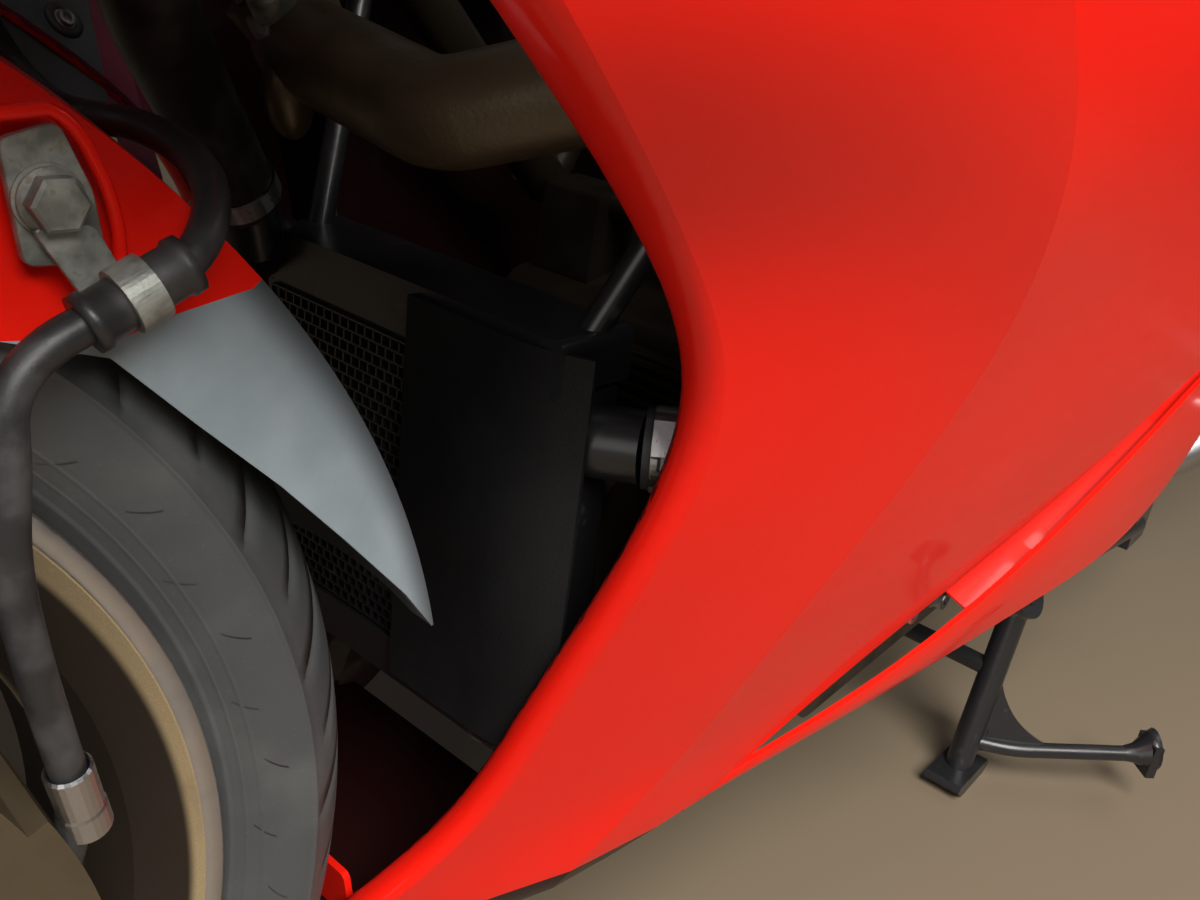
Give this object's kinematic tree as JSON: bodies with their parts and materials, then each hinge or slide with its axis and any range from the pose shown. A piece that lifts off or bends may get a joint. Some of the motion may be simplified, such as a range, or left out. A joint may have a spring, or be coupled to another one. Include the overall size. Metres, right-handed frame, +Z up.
{
  "type": "sport touring motorcycle",
  "caption": "Fully faired sport touring motorcycle on its centre stand, with turning wheels, steering and folding stands.",
  "frame": {"origin": "on the floor below the middle of the motorcycle's length and width", "axes": "+X forward, +Y to the rider's left, +Z up"},
  "size_m": [2.0682, 0.89, 1.19],
  "materials": {
    "red_paint": "glossy red paint over moulded plastic",
    "wheel_gold": "matt champagne gold over cast aluminium",
    "frame_bronze": "satin bronze paint",
    "tyre_rubber": "road tyre",
    "black_rubber": "soft satin",
    "black_plastic": "grained black",
    "grey_plastic": "plain pale grey moulding",
    "black_paint": "satin black",
    "fork_silver": "hard chromed tube",
    "raw_aluminium": "cast and machined",
    "steel": "brushed",
    "engine_bronze": "dark bronze over castings",
    "clear_lens": "clear",
    "screen_tint": "lightly smoked",
    "red_lens": "lens",
    "seat_cover": "grained cover"
  },
  "bodies": {
    "chassis": {"chain": "steel", "frame_left": "frame_bronze", "frame_right": "frame_bronze", "frame_head": "frame_bronze", "engine": "engine_bronze", "swingarm": "frame_bronze", "rear_axle": "steel", "shock": "steel", "rear_caliper": "engine_bronze", "radiator": "black_paint", "radiator_carrier": "engine_bronze", "coolant_hoses": "black_rubber", "inner_panels": "black_plastic", "exhaust_headers": "steel", "silencers": "raw_aluminium", "side_fairing_left": "red_paint", "side_fairing_right": "red_paint", "lower_fairing_left": "red_paint", "lower_fairing_right": "red_paint", "belly_pan": "red_paint", "nose_fairing": "red_paint", "headlamp": "clear_lens", "screen": "screen_tint", "instruments": "black_plastic", "mirrors": "black_plastic", "tank": "red_paint", "seat": "seat_cover", "tail_cowl": "red_paint", "tail_lamps": "red_lens", "rear_mudguard": "black_plastic", "grab_rail": "black_paint", "footrests": "raw_aluminium", "stand_brackets": "black_paint"},
    "steering": {"front_axle": "steel", "fork_left": "raw_aluminium", "fork_right": "raw_aluminium", "fork_clamps": "raw_aluminium", "handlebars": "black_paint", "grips": "black_rubber", "levers": "black_paint", "mudguard": "red_paint", "mudguard_extension": "grey_plastic", "front_calipers": "engine_bronze", "hose_bracket": "steel", "brake_hoses": "black_rubber"},
    "front_wheel": {"front_rim": "wheel_gold", "front_tyre": "tyre_rubber", "front_discs": "steel"},
    "rear_wheel": {"rear_rim": "wheel_gold", "rear_tyre": "tyre_rubber", "rear_disc": "steel", "rear_sprocket": "steel"},
    "centre_stand": {"centre_stand": "black_paint"},
    "side_stand": {"side_stand": "black_paint"}
  },
  "joints": [
    {"name": "steering_head", "type": "hinge", "parent": "chassis", "child": "steering", "pos_m": [0.48092, 0, 0.79987], "axis": [-0.4067, 0, 0.9135], "range_deg": [-21.85, 32.15]},
    {"name": "front_wheel_spin", "type": "hinge", "parent": "steering", "child": "front_wheel", "pos_m": [0.73489, -0.00259, 0.29995], "axis": [0.082, 0.996, 0.0365], "continuous": true},
    {"name": "rear_wheel_spin", "type": "hinge", "parent": "chassis", "child": "rear_wheel", "pos_m": [-0.695, 0, 0.333], "axis": [0, 1, 0], "continuous": true},
    {"name": "centre_stand_pivot", "type": "hinge", "parent": "chassis", "child": "centre_stand", "pos_m": [-0.19, 0, 0.19], "axis": [0, 1, 0], "range_deg": [0, 80]},
    {"name": "side_stand_pivot", "type": "hinge", "parent": "chassis", "child": "side_stand", "pos_m": [-0.06, 0.16, 0.225], "axis": [-0.0669, -0.8333, -0.5488], "range_deg": [0, 99.9]}
  ]
}
